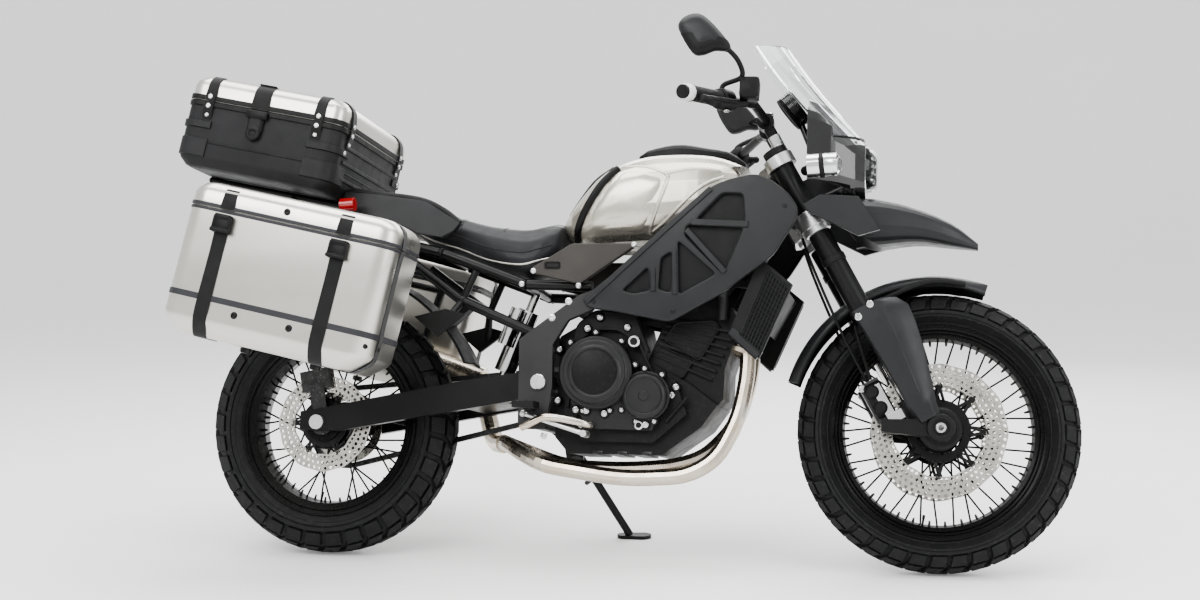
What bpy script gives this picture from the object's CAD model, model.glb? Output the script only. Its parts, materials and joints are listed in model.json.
import json
from math import atan2, cos, hypot, pi, radians, sin

import bmesh
import bpy
from mathutils import Matrix, Vector
from mathutils.bvhtree import BVHTree
from mathutils.geometry import delaunay_2d_cdt


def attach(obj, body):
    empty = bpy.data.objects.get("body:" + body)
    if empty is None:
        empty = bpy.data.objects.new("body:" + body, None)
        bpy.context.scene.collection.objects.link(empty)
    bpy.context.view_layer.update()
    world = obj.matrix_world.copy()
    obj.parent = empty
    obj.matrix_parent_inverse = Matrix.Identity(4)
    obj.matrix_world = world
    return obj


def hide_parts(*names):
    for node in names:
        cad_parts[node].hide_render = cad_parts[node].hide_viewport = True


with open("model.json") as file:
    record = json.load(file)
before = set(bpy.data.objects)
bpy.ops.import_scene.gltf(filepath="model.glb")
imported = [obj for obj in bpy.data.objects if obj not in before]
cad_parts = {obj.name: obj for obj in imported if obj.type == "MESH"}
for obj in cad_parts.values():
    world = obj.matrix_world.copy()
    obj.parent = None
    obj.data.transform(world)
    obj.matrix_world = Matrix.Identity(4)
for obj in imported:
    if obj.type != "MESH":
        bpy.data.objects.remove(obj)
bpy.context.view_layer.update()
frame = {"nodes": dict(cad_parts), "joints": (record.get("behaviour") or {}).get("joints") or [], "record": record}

# ---- Places ----
# The upright machine's own axes, in millimetres from the point under the rear axle: +X ahead, +Y to
# the rider's left, +Z up. The frame's joints say how it leans and how far the fork is turned.
JOINTS = {j["name"]: j for j in frame["joints"]}
REAR_TYRE_R = 324.0
FRONT_TYRE_R = 334.0
WHEELBASE = 1514.0
RAKE = radians(29)
AXLE_OFFSET = 56.0


def vec(*p):
    return Vector(p[0] if len(p) == 1 else p)


side = vec(JOINTS["rear_wheel_spin"]["axis"]).normalized()
fork_up = vec(JOINTS["steering"]["axis"]).normalized()
fork_ahead = side.cross(fork_up).normalized()
ahead = (fork_ahead * cos(RAKE) - fork_up * sin(RAKE)).normalized()
up = ahead.cross(side).normalized()
rear_axle = vec(JOINTS["rear_wheel_spin"]["pos_m"])
UPRIGHT = Matrix((ahead, side, up)).transposed().to_4x4()
UPRIGHT.translation = rear_axle - up * REAR_TYRE_R / 1000

# What turns with the fork is first drawn straight ahead, then turned about the steering axis
front_line = vec(JOINTS["front_wheel_spin"]["axis"]).normalized()
steer_angle = atan2(fork_up.dot(side.cross(front_line)), side.dot(front_line))
steer_pos = vec(JOINTS["steering"]["pos_m"])
TURNED = (Matrix.Translation(steer_pos) @ Matrix.Rotation(steer_angle, 4, fork_up)
          @ Matrix.Translation(-steer_pos) @ UPRIGHT)
FORK_FOOT = vec(WHEELBASE, 0, FRONT_TYRE_R) - AXLE_OFFSET * vec(cos(RAKE), 0, sin(RAKE))


def on_fork(forward, y, s):
    """A point by its distance ahead of the steering axis, its side and its height up that axis."""
    return FORK_FOOT + vec(forward * cos(RAKE) - s * sin(RAKE), y,
                           forward * sin(RAKE) + s * cos(RAKE))


def bar(y_side, mm, lift=0.0, push=0.0):
    """A point along the straight of the handlebar, from its last bend, with y_side -1 right or 1 left."""
    a, b = vec(1012, 262, 1082), vec(928, 425, 1056)
    p = a + (b - a).normalized() * mm + vec(push, 0, lift)
    return vec(p.x, p.y * y_side, p.z)


def scaled(place):
    """The matrix that takes millimetres of that place to metres of the row frame."""
    return place @ Matrix.Scale(0.001, 4)


def tilted(origin, degrees, mirror=1):
    """A case's own place, tipped nose down: its origin in upright millimetres, mirrored with -1."""
    corner = vec(origin[0], origin[1] * mirror, origin[2])
    m = Matrix.Translation(corner) @ Matrix.Rotation(radians(degrees), 4, "Y")
    if mirror < 0:
        m = m @ Matrix.Scale(-1, 4, (0, 1, 0))
    return UPRIGHT @ Matrix.Scale(0.001, 4) @ m @ Matrix.Scale(1000, 4)


# ---- Camera and light ----
YAW, PITCH, ROLL = radians(11.8), radians(4.5), radians(-0.77)
look = vec(-sin(YAW) * cos(PITCH), cos(YAW) * cos(PITCH), -sin(PITCH))
right = vec(cos(YAW), sin(YAW), 0)
top = right.cross(look)
right, top = right * cos(ROLL) + top * sin(ROLL), top * cos(ROLL) - right * sin(ROLL)
camera = bpy.data.objects.new("camera", bpy.data.cameras.new("camera"))
bpy.context.scene.collection.objects.link(camera)
camera.matrix_world = Matrix((right, top, -look)).transposed().to_4x4()
camera.location = rear_axle + vec(1.5496, -4.0874, 0.653)
camera.data.lens, camera.data.sensor_width = 50.9, 36
bpy.context.scene.camera = camera


def area_light(name, where, aim, width, height, power):
    data = bpy.data.lights.new(name, "AREA")
    data.shape, data.size, data.size_y = "RECTANGLE", width, height
    data.energy = power
    lamp = bpy.data.objects.new(name, data)
    bpy.context.scene.collection.objects.link(lamp)
    lamp.location = where
    lamp.rotation_euler = (vec(aim) - vec(where)).to_track_quat("-Z", "Y").to_euler()


area_light("key_light", (-1.6, -3.4, 3.4), (0, 0, 0.5), 3.4, 2.0, 120)
area_light("fill_light", (3.4, -2.2, 2.0), (0.3, 0, 0.6), 2.0, 2.4, 60)
area_light("top_light", (0.0, 0.2, 3.6), (0, 0, 0.6), 4.6, 2.0, 130)
area_light("back_light", (0.6, 3.4, 2.6), (0, 0, 0.9), 4.0, 1.6, 70)

world = bpy.data.worlds.new("studio")
bpy.context.scene.world = world
bpy.context.scene.view_settings.look = "AgX - Medium High Contrast"
world.use_nodes = True
world.node_tree.nodes["Background"].inputs["Color"].default_value = (0.87, 0.875, 0.88, 1)
world.node_tree.nodes["Background"].inputs["Strength"].default_value = 1.05


# ---- Materials ----
def put(node, values):
    """Sets a shader node's inputs by name."""
    for key, value in values.items():
        node.inputs[key].default_value = value


class Nodes:
    """A material's node tree, with its Principled shader and the row-frame coordinate at hand."""

    def __init__(self, name):
        self.mat = bpy.data.materials.new(name)
        self.mat.use_nodes = True
        self.tree = self.mat.node_tree
        self.skin = self.tree.nodes["Principled BSDF"]
        self.place = self.add("ShaderNodeTexCoord").outputs["Object"]

    def add(self, kind, **values):
        n = self.tree.nodes.new(kind)
        for key, value in values.items():
            setattr(n, key, value)
        return n

    def link(self, a, b):
        self.tree.links.new(a, b)

    def noise(self, scale, detail=3.0, stretch=None, rough=0.55):
        source = self.place
        if stretch:
            m = self.add("ShaderNodeMapping")
            put(m, {"Scale": stretch, "Rotation": (0, radians(12), 0)})
            self.link(source, m.inputs["Vector"])
            source = m.outputs["Vector"]
        n = self.add("ShaderNodeTexNoise")
        put(n, {"Scale": scale, "Detail": detail, "Roughness": rough})
        self.link(source, n.inputs["Vector"])
        return n.outputs["Fac"]

    def ramp(self, fac, stops):
        r = self.add("ShaderNodeValToRGB")
        for i in (0, -1):
            end = r.color_ramp.elements[i]
            end.position, end.color = stops[i][0], (*stops[i][1], 1)
        for place, colour in stops[1:-1]:
            r.color_ramp.elements.new(place).color = (*colour, 1)
        self.link(fac, r.inputs["Fac"])
        return r.outputs["Color"]

    def span(self, fac, low, high):
        m = self.add("ShaderNodeMapRange")
        put(m, {"From Min": 0.3, "From Max": 0.7, "To Min": low, "To Max": high})
        self.link(fac, m.inputs["Value"])
        return m.outputs["Result"]


LOOKS = {}


def grey(v):
    return (v, v, v)


def finish_of(name, colour, rough, metal=0.0, vary=0.12, patch=14, grain=900, bump=0.25, depth=0.00015,
              rough_vary=0.07, stretch=None, edge=0.0015, coat=0.0, sheen=0.0, dust=None, wave=None):
    """A procedural finish: colour and roughness drift over patches, with a grain and softened edges."""
    n = Nodes(name)
    patches = n.noise(patch, 4)
    dark = tuple(c * (1 - vary) for c in colour)
    light = tuple(min(1, c * (1 + vary)) for c in colour)
    tint = n.ramp(patches, [(0.3, dark), (0.7, light)])
    if dust:
        flecks = n.ramp(n.noise(grain * 0.16, 6, rough=0.7), [(0.56, grey(0)), (0.72, grey(dust[1]))])
        mix = n.add("ShaderNodeMix", data_type="RGBA")
        put(mix, {"B": (*dust[0], 1)})
        n.link(flecks, mix.inputs["Factor"])
        n.link(tint, mix.inputs["A"])
        tint = mix.outputs["Result"]
    n.link(tint, n.skin.inputs["Base Color"])
    n.link(n.span(n.noise(patch * 2.3, 5, stretch), rough - rough_vary, rough + rough_vary),
           n.skin.inputs["Roughness"])
    put(n.skin, {"Metallic": metal, "Coat Weight": coat, "Coat Roughness": 0.12, "Sheen Weight": sheen})
    if metal < 0.6 and not coat:
        put(n.skin, {"Specular IOR Level": 0.28})
    raised = n.add("ShaderNodeBump")
    put(raised, {"Strength": bump, "Distance": depth})
    height = n.noise(grain, 2, stretch)
    if wave:
        w = n.add("ShaderNodeTexWave", wave_type="BANDS", bands_direction=wave[0])
        put(w, {"Scale": wave[1], "Distortion": 0.6})
        n.link(n.place, w.inputs["Vector"])
        both = n.add("ShaderNodeMath", operation="ADD")
        n.link(height, both.inputs[0])
        n.link(w.outputs["Fac"], both.inputs[1])
        height = both.outputs[0]
    n.link(height, raised.inputs["Height"])
    if edge:
        soft = n.add("ShaderNodeBevel", samples=4)
        put(soft, {"Radius": edge})
        n.link(soft.outputs["Normal"], raised.inputs["Normal"])
    n.link(raised.outputs["Normal"], n.skin.inputs["Normal"])
    LOOKS[name] = n.mat


def clear_of(name, colour, rough, ior):
    """A see-through finish."""
    n = Nodes(name)
    n.link(n.ramp(n.noise(9, 3), [(0.3, tuple(c * (1 - 0.04) for c in colour)), (0.7, colour)]),
           n.skin.inputs["Base Color"])
    n.link(n.span(n.noise(60, 3), rough, rough + 0.02), n.skin.inputs["Roughness"])
    put(n.skin, {"Transmission Weight": 1.0, "IOR": ior})
    LOOKS[name] = n.mat


finish_of("frame", grey(0.035), 0.42, 0.35, grain=1100, bump=0.35, patch=9)
finish_of("frame_tube", grey(0.008), 0.34, 0.1, grain=1500, bump=0.2)
finish_of("engine", grey(0.009), 0.46, 0.3, grain=650, bump=0.6, depth=0.0003, dust=(grey(0.05), 0.4))
finish_of("engine_cover", grey(0.028), 0.36, 0.45, grain=1300, bump=0.3, edge=0.003)
finish_of("radiator", grey(0.012), 0.5, 0.2, grain=900)
finish_of("tank_paint", (0.56, 0.53, 0.465), 0.27, 0.72, vary=0.03, patch=5, grain=2600, bump=0.12,
          depth=0.00006, rough_vary=0.03, coat=0.35, edge=0.006)
finish_of("black_plastic", grey(0.006), 0.5, vary=0.2, grain=1400, bump=0.5, edge=0.003)
finish_of("grey_plastic", (0.021, 0.0215, 0.0225), 0.36, vary=0.1, grain=1600, bump=0.3, edge=0.004)
finish_of("brown_plastic", (0.042, 0.038, 0.034), 0.42, grain=1500, bump=0.3, edge=0.003)
finish_of("gloss_black", grey(0.006), 0.11, vary=0.3, rough_vary=0.03, grain=300, bump=0.03, coat=0.8,
          edge=0.003)
finish_of("seat_vinyl", (0.014, 0.0145, 0.016), 0.45, vary=0.12, grain=1900, bump=0.7, depth=0.0002,
          sheen=0.15, edge=0)
finish_of("tyre", (0.0085, 0.0085, 0.009), 0.62, vary=0.25, patch=22, grain=700, bump=0.5, depth=0.0003,
          dust=(grey(0.085), 0.35), edge=0.001)
finish_of("grip_rubber", grey(0.012), 0.62, grain=900, bump=0.5, wave=("DIAGONAL", 90))
finish_of("rim", grey(0.006), 0.28, 0.4, grain=1300, bump=0.12)
finish_of("clamp_silver", grey(0.62), 0.3, 0.95, vary=0.06, grain=1500, bump=0.2)
finish_of("chrome", grey(0.72), 0.12, 1.0, vary=0.04, rough_vary=0.04, grain=500, bump=0.03)
finish_of("caliper", grey(0.05), 0.4, 0.7, vary=0.3, patch=60, grain=900, bump=0.5, dust=(grey(0.35), 0.5))
finish_of("disc_steel", (0.56, 0.54, 0.5), 0.24, 1.0, vary=0.22, patch=45, grain=1500, bump=0.3,
          dust=((0.2, 0.17, 0.13), 0.6))
finish_of("case_aluminium", (0.6, 0.585, 0.545), 0.31, 0.93, vary=0.03, patch=4, grain=420, bump=0.16,
          depth=0.00008, rough_vary=0.05, stretch=(0.05, 1, 1.6), edge=0.002)
finish_of("case_plastic", (0.016, 0.016, 0.017), 0.55, vary=0.15, grain=1300, bump=0.6, depth=0.00025,
          edge=0.002)
clear_of("clear", (0.97, 0.985, 0.99), 0.02, 1.3)
clear_of("lens", (0.96, 0.975, 0.98), 0.04, 1.4)
finish_of("red_lens", (0.3, 0.008, 0.008), 0.15, coat=0.6, grain=300, bump=0.1, wave=("Z", 60))
finish_of("webbing", grey(0.006), 0.72, vary=0.2, grain=1200, bump=0.5, depth=0.0003, sheen=0.2,
          wave=("DIAGONAL", 240), edge=0)
finish_of("band", (0.035, 0.036, 0.04), 0.5, vary=0.1, grain=1200, bump=0.3)
finish_of("bolt_dark", grey(0.03), 0.3, 0.9, grain=900)
finish_of("bolt_silver", grey(0.68), 0.22, 1.0, vary=0.1, grain=900)
finish_of("hose", grey(0.006), 0.45, grain=900, bump=0.3)
finish_of("white_cap", grey(0.72), 0.3, 0.2, vary=0.04, grain=900)


def steel_with_heat(name):
    n = Nodes(name)
    colour = n.ramp(n.noise(5, 4), [(0.3, (0.6, 0.56, 0.5)), (0.5, (0.55, 0.48, 0.39)),
                                    (0.68, (0.63, 0.6, 0.56))])
    n.link(colour, n.skin.inputs["Base Color"])
    put(n.skin, {"Metallic": 1.0})
    n.link(n.span(n.noise(24, 5), 0.2, 0.34), n.skin.inputs["Roughness"])
    raised = n.add("ShaderNodeBump")
    put(raised, {"Strength": 0.15, "Distance": 0.0002})
    n.link(n.noise(500, 3), raised.inputs["Height"])
    n.link(raised.outputs["Normal"], n.skin.inputs["Normal"])
    LOOKS[name] = n.mat


steel_with_heat("exhaust")

# ---- Mesh helpers ----
OPEN = (False, False)


class Piece:
    """A mesh drawn in millimetres of some place, then made an object that rides on a body."""

    def __init__(self):
        self.verts, self.faces = [], []

    def add(self, verts, faces):
        base = len(self.verts)
        self.verts += [tuple(v) for v in verts]
        self.faces += [tuple(base + i for i in f) for f in faces]

    def rings(self, rings, caps=(True, True), loop=False):
        """Joins rings of points, each of the same number, into a skin."""
        count = len(rings[0])
        base = len(self.verts)
        for ring in rings:
            self.verts += [tuple(p) for p in ring]
        last = len(rings) if loop else len(rings) - 1
        for i in range(last):
            a, b = base + i * count, base + (i + 1) % len(rings) * count
            for k in range(count):
                n = (k + 1) % count
                self.faces.append((a + k, a + n, b + n, b + k))
        if caps[0] and not loop:
            self.faces.append(tuple(base + k for k in reversed(range(count))))
        if caps[1] and not loop:
            self.faces.append(tuple(base + (len(rings) - 1) * count + k for k in range(count)))

    def lathe(self, profile, origin, axis, segments=24, start=None, closed=False):
        """Turns (radius, height) points about an axis."""
        axis = vec(axis).normalized()
        u = vec(start) if start else axis.orthogonal()
        u = (u - axis * u.dot(axis)).normalized()
        v = axis.cross(u)
        origin = vec(origin)
        rings = []
        for r, h in profile:
            rings.append([origin + axis * h + (u * cos(t) + v * sin(t)) * max(r, 0.001)
                          for t in (2 * pi * k / segments for k in range(segments))])
        self.rings(rings, caps=(not closed, not closed), loop=closed)

    def tube(self, path, radius, sides=12):
        """A round tube along a path."""
        path = [vec(p) for p in path]
        u, rings = None, []
        for i, p in enumerate(path):
            way = (path[min(i + 1, len(path) - 1)] - path[max(i - 1, 0)]).normalized()
            u = way.orthogonal().normalized() if u is None else (u - way * u.dot(way)).normalized()
            v = way.cross(u)
            rings.append([p + (u * cos(t) + v * sin(t)) * radius
                          for t in (2 * pi * k / sides for k in range(sides))])
        self.rings(rings)

    def ribbon(self, path, across, width, thick):
        """A flat strap along a path, its width along across."""
        path = [vec(p) for p in path]
        rings = []
        for i, p in enumerate(path):
            way = (path[min(i + 1, len(path) - 1)] - path[max(i - 1, 0)]).normalized()
            side_way = vec(across).normalized()
            side_way = (side_way - way * side_way.dot(way)).normalized()
            normal = side_way.cross(way)
            w, t, e = width / 2, thick, min(thick * 0.4, 1.0)
            outline = [(-w, 0), (w, 0), (w, t - e), (w - e, t), (-w + e, t), (-w, t - e)]
            rings.append([p + side_way * a + normal * b for a, b in outline])
        self.rings(rings)

    def block(self, centre, size, axes=None, chamfer=2.0, taper=1.0):
        """A chamfered block along three axes; taper narrows its far end along the third."""
        x, y, z = (vec(a).normalized() for a in (axes or ((1, 0, 0), (0, 1, 0), (0, 0, 1))))
        a, b, c = (s / 2 for s in size)
        e = min(chamfer, a * 0.9, b * 0.9, c * 0.9)
        rings = []
        for h, inset, f in ((-c, e, 1), (-c + e, 0, 1), (c - e, 0, taper), (c, e, taper)):
            p, q, k = (a - inset) * f, (b - inset) * f, e * 0.7
            outline = [(p - k, -q), (p, -q + k), (p, q - k), (p - k, q), (-p + k, q), (-p, q - k),
                       (-p, -q + k), (-p + k, -q)]
            rings.append([vec(centre) + x * m + y * n + z * h for m, n in outline])
        self.rings(rings)

    def plate(self, outline, low, high, chamfer=1.5):
        """An outline of [x, z] points extruded across the machine, with chamfered edges."""
        centre = vec(sum(p[0] for p in outline) / len(outline), sum(p[1] for p in outline) / len(outline))

        def inset(p):
            d = centre - vec(p)
            return vec(p) + d.normalized() * chamfer

        sign = 1 if high > low else -1
        rings = []
        for h, pulled in ((low, True), (low + sign * chamfer, False), (high - sign * chamfer, False),
                          (high, True)):
            ring = [inset(p) if pulled else vec(p) for p in outline]
            rings.append([vec(p.x, h, p.y) for p in ring])
        self.rings(rings)

    def bolt(self, at_point, normal, r=5.0, h=3.0):
        """A button head bolt with a socket in it."""
        prof = [(r * 1.25, 0), (r * 1.25, h * 0.18), (r, h * 0.22), (r * 0.96, h * 0.7), (r * 0.75, h),
                (r * 0.5, h), (r * 0.42, h * 0.5), (0.01, h * 0.45)]
        self.lathe(prof, at_point, normal, 12)

    def make(self, name, look, body, place=None, smooth=38, bevel=0.0, weld=False):
        """The finished object: smooth is the sharpest angle shaded round, bevel a width in millimetres."""
        mesh = bpy.data.meshes.new(name)
        mesh.from_pydata([tuple(v) for v in self.verts], [], self.faces)
        mesh.transform(scaled(place or UPRIGHT))
        bm = bmesh.new()
        bm.from_mesh(mesh)
        if weld:
            bmesh.ops.remove_doubles(bm, verts=bm.verts, dist=0.00005)
        bmesh.ops.recalc_face_normals(bm, faces=bm.faces)
        bm.to_mesh(mesh)
        bm.free()
        mesh.polygons.foreach_set("use_smooth", [True] * len(mesh.polygons))
        mesh.set_sharp_from_angle(angle=radians(smooth))
        obj = bpy.data.objects.new(name, mesh)
        bpy.context.scene.collection.objects.link(obj)
        mesh.materials.append(LOOKS[look])
        if bevel:
            m = obj.modifiers.new("edges", "BEVEL")
            m.width, m.segments, m.limit_method, m.angle_limit = bevel / 1000, 2, "ANGLE", radians(40)
        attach(obj, body)
        return obj


def paint(node, look):
    """Gives a CAD node its finish."""
    obj = frame["nodes"][node]
    obj.data.materials.clear()
    obj.data.materials.append(LOOKS[look])


def smooth_path(points, steps=6, closed=False):
    """A Catmull-Rom curve through points."""
    pts = [vec(p) for p in points]
    out = []
    n = len(pts)
    for i in range(n if closed else n - 1):
        if closed:
            a, b, c, d = pts[i - 1], pts[i], pts[(i + 1) % n], pts[(i + 2) % n]
        else:
            a, b, c, d = pts[max(i - 1, 0)], pts[i], pts[i + 1], pts[min(i + 2, n - 1)]
        for k in range(steps):
            t = k / steps
            out.append(0.5 * ((2 * b) + (c - a) * t + (2 * a - 5 * b + 4 * c - d) * t * t
                              + (3 * b - a - 3 * c + d) * t ** 3))
    if not closed:
        out.append(pts[-1])
    return out


# ---- Finishes of the CAD nodes ----
BY_NODE = {"triple_clamps": "clamp_silver", "fork_tubes": "frame_tube", "handlebar": "frame_tube",
           "rear_shock": "chrome", "front_axle": "frame_tube", "drive_chain": "caliper"}
for part in frame["record"]["subparts"]:
    paint(part["node"], BY_NODE.get(part["node"], part["material_slot"]))


# ---- Tyres ----
def tyre_piece(name, node, body, place, axle, r, width, crown, rim_r, rim_half, rows, count, groove):
    """A carcass turned below the tread's top, with count blocks in each row standing on it.

    A row is its two edges in degrees over the crown, its blocks' share of the pitch, their shift along it
    and their slant.
    """
    piece = Piece()
    axle = vec(axle)

    def point(angle, y, height):
        """A point over the crown: y is the arc's own angle in degrees."""
        rad = r - crown + (crown - height) * cos(radians(y))
        across = (width / 2 - height) * sin(radians(y))
        return axle + vec(cos(angle) * rad, across, sin(angle) * rad)

    profile = [(rim_r - 2, -rim_half + 2), (rim_r + 7, -rim_half - 1)]
    for a in range(-100, 101, 8):
        drop = groove if abs(a) < 80 else 1.2
        profile.append((r - crown + (crown - drop) * cos(radians(a)),
                        (width / 2 - drop) * sin(radians(a))))
        if abs(a) == 84:
            profile.append(profile[-1])
    profile += [(rim_r + 7, rim_half + 1), (rim_r - 2, rim_half - 2)]
    piece.lathe(profile, axle, (0, 1, 0), 120, (1, 0, 0), closed=True)
    # Raised rings on the side wall
    for ring in (0.28, 0.62):
        for s in (-1, 1):
            base_r = rim_r + 10 + (r - crown - rim_r) * ring * 0.9
            y = s * (rim_half + (width / 2 - rim_half) * min(1, ring * 1.5) * 0.86)
            piece.lathe([(base_r - 2, y - 2), (base_r, y + s * 2.2 - 2), (base_r + 2, y - 2),
                         (base_r, y - 5)], axle, (0, 1, 0), 96, (1, 0, 0), closed=True)
    step = 2 * pi / count
    for k in range(count):
        for a0, a1, span, shift, lean_back in rows:
            for s in ((-1, 1) if a0 > 0 else (1,)):
                mid = step * (k + shift + (0.5 if s < 0 and a0 > 0 else 0))
                half = step * span / 2
                corners = [(a0, -half), (a1, -half), (a1, half), (a0, half)]
                low, high = [], []
                for height, inset, ring in ((groove + 2, 0, low), (0.0, 0.05, high)):
                    for a, off in corners:
                        m = (a0 + a1) / 2
                        aa = m + (a - m) * (1 - inset)
                        oo = off * (1 - inset) + lean_back * step * (a - m) / (a1 - a0)
                        ring.append(point(mid + oo, s * aa, height))
                outer = [p.lerp(q, 0.82) for p, q in zip(low, high)]
                inner = [q.lerp(sum(high, vec(0, 0, 0)) / 4, 0.07) for q in high]
                piece.rings([low, outer, inner], caps=(False, True))
    obj = piece.make(name, "tyre", body, place, smooth=32)
    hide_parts(node)


tyre_piece("front_tyre_tread", "front_tyre", "front_wheel", TURNED, (WHEELBASE, 0, FRONT_TYRE_R),
           FRONT_TYRE_R, 112, 50, 255, 36, [(-13, 13, 0.8, 0.0, 0.18), (19, 42, 0.76, 0.3, 0.22),
                                            (46, 80, 0.8, 0.55, 0.1)], 40, 9)
tyre_piece("rear_tyre_tread", "rear_tyre", "rear_wheel", UPRIGHT, (0, 0, REAR_TYRE_R), REAR_TYRE_R, 150,
           60, 230, 58, [(-12, 12, 0.78, 0.0, 0.2), (17, 38, 0.76, 0.3, 0.3), (42, 78, 0.78, 0.55, 0.1)],
           34, 10)


# ---- Wheels: nipples, rim lip, discs ----
# A square's outline in thirds, round from its first corner
THIRDS = [(0, 0), (1 / 3, 0), (2 / 3, 0), (1, 0), (1, 1 / 3), (1, 2 / 3),
          (1, 1), (2 / 3, 1), (1 / 3, 1), (0, 1), (0, 2 / 3), (0, 1 / 3)]


def disc_piece(name, body, place, axle, ys, inner, outer, rows, count):
    """A brake disc with its holes cut through and a wavy edge."""
    piece = Piece()
    thick, waves = 5, 1.4
    axle = vec(axle)
    for y0 in ys:
        radii = [inner + (outer - inner) * k / rows for k in range(rows + 1)]

        def wavy(rad, t):
            rise = (rad - inner) / (outer - inner)
            return rad + waves * cos(t * 12) * (rise if rise > 0.5 else -(1 - rise)) * 0.9

        for k in range(count):
            for q in range(rows):
                t0 = 2 * pi * (k + 0.5 * (q % 2)) / count
                t1 = t0 + 2 * pi / count
                r0, r1 = radii[q], radii[q + 1]
                square = [(t0 + (t1 - t0) * u, r0 + (r1 - r0) * v) for u, v in THIRDS]
                mt, mr = (t0 + t1) / 2, (r0 + r1) / 2
                hole_r = min((r1 - r0), (t1 - t0) * mr) * 0.3
                hole = [(mt + hole_r * cos(radians(225 + 30 * i)) / mr,
                         mr + hole_r * sin(radians(225 + 30 * i))) for i in range(12)]
                layers = []
                for pts, y in ((square, y0), (square, y0 + thick), (hole, y0 + thick), (hole, y0)):
                    layers.append([axle + vec(cos(t) * wavy(rr, t), y, sin(t) * wavy(rr, t))
                                   for t, rr in pts])
                piece.rings(layers[1:], caps=OPEN)
                piece.rings([layers[3], layers[0]], caps=OPEN)
        for rad in (inner, outer):
            n = count * 3
            ring_a = [axle + vec(cos(t) * wavy(rad, t), y0, sin(t) * wavy(rad, t))
                      for t in (2 * pi * i / n for i in range(n))]
            piece.rings([ring_a, [p + vec(0, thick, 0) for p in ring_a]], caps=OPEN)
    return piece.make(name, "disc_steel", body, place, smooth=30, weld=True)


def star_piece(name, body, place, axle, ys, hub_r, reach, arms, thick):
    """The disc's carrier: a ring with arms out to rivets."""
    piece = Piece()
    axle = vec(axle)
    for y0 in ys:
        piece.lathe([(hub_r - 10, 0), (hub_r - 10, thick), (hub_r + 8, thick), (hub_r + 8, 0)], axle
                    + vec(0, y0, 0), (0, 1, 0), 48, closed=True)
        for k in range(arms):
            for lean_t in (-0.16, 0.16):
                t = 2 * pi * k / arms
                a = vec(cos(t + lean_t), 0, sin(t + lean_t)) * (hub_r + 3)
                b = vec(cos(t), 0, sin(t)) * reach
                way = (b - a)
                piece.block(axle + (a + b) / 2 + vec(0, y0 + thick / 2, 0), (way.length, 7, thick),
                            (way, way.cross(vec(0, 1, 0)), (0, 1, 0)), 1)
            b = vec(cos(t), 0, sin(t)) * reach
            piece.lathe([(8, -1), (8, thick + 1), (4, thick + 2), (0.01, thick + 2)], axle + b
                        + vec(0, y0, 0), (0, 1, 0), 12)
    piece.make(name, "frame_tube", body, place)


front_axle_mm = (WHEELBASE, 0, FRONT_TYRE_R)
rear_axle_mm = (0, 0, REAR_TYRE_R)
front_disc = disc_piece("front_disc_rings", "front_wheel", TURNED, front_axle_mm, (-67, 62), 108, 158, 4,
                        60)
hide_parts("front_discs")
star_piece("front_disc_carriers", "front_wheel", TURNED, front_axle_mm, (-66, 63), 66, 106, 8, 3)
rear_disc = disc_piece("rear_disc_ring", "rear_wheel", UPRIGHT, rear_axle_mm, (-87,), 78, 120, 3, 48)
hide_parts("rear_disc")
star_piece("rear_disc_carrier", "rear_wheel", UPRIGHT, rear_axle_mm, (-86,), 52, 77, 6, 3)


SPOKES = 36


def wheel_trim(name, body, place, axle, rim_r, rim_half):
    """Spoke nipples, rim lips and a valve."""
    piece, dark = Piece(), Piece()
    axle = vec(axle)
    for k in range(SPOKES):
        t = 2 * pi * (k + 0.5) / SPOKES
        out = vec(cos(t), 0, sin(t))
        y = 8 if k % 2 else -8
        piece.lathe([(3.2, 0), (3.2, 9), (2.2, 15), (2.0, 16)], axle + out * (rim_r - 30) + vec(0, y, 0),
                    -out, 8)
    for s in (-1, 1):
        y = s * (rim_half + 1)
        dark.lathe([(rim_r - 5, y - 1.5), (rim_r + 1.5, y - 2.2), (rim_r + 2.5, y), (rim_r + 1, y + 2.2),
                    (rim_r - 5, y + 1.5)], axle, (0, 1, 0), 120, closed=True)
        rad = rim_r - 22
        dark.lathe([(rad - 1.4, y * 0.8 - 1.4), (rad + 1.4, y * 0.8 - 1.4), (rad + 1.4, y * 0.8 + 1.4),
                    (rad - 1.4, y * 0.8 + 1.4)], axle, (0, 1, 0), 96, closed=True)
    t = radians(261)
    out = vec(cos(t), 0, sin(t))
    dark.lathe([(4, 0), (4, 8), (2.8, 10), (2.8, 26), (3.6, 27), (3.6, 35), (0.01, 36)], axle
               + out * (rim_r - 22), -out, 12)
    piece.make(name + "_nipples", "bolt_dark", body, place)
    dark.make(name + "_lips", "rim", body, place)


wheel_trim("front_wheel", "front_wheel", TURNED, front_axle_mm, 255, 36)
wheel_trim("rear_wheel", "rear_wheel", UPRIGHT, rear_axle_mm, 230, 58)


# ---- Cases ----
def round_box_ring(half_l, half_w, radius, z):
    """A rounded rectangle as points, counterclockwise from its +X side."""
    steps = 7
    r = max(0.5, min(radius, half_l, half_w))
    ring = []
    for cx, cy, a0 in ((half_l - r, half_w - r, 0), (-half_l + r, half_w - r, 90),
                       (-half_l + r, -half_w + r, 180), (half_l - r, -half_w + r, 270)):
        for k in range(steps + 1):
            a = radians(a0 + 90 * k / steps)
            ring.append(vec(cx + r * cos(a), cy + r * sin(a), z))
    return ring


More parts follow.
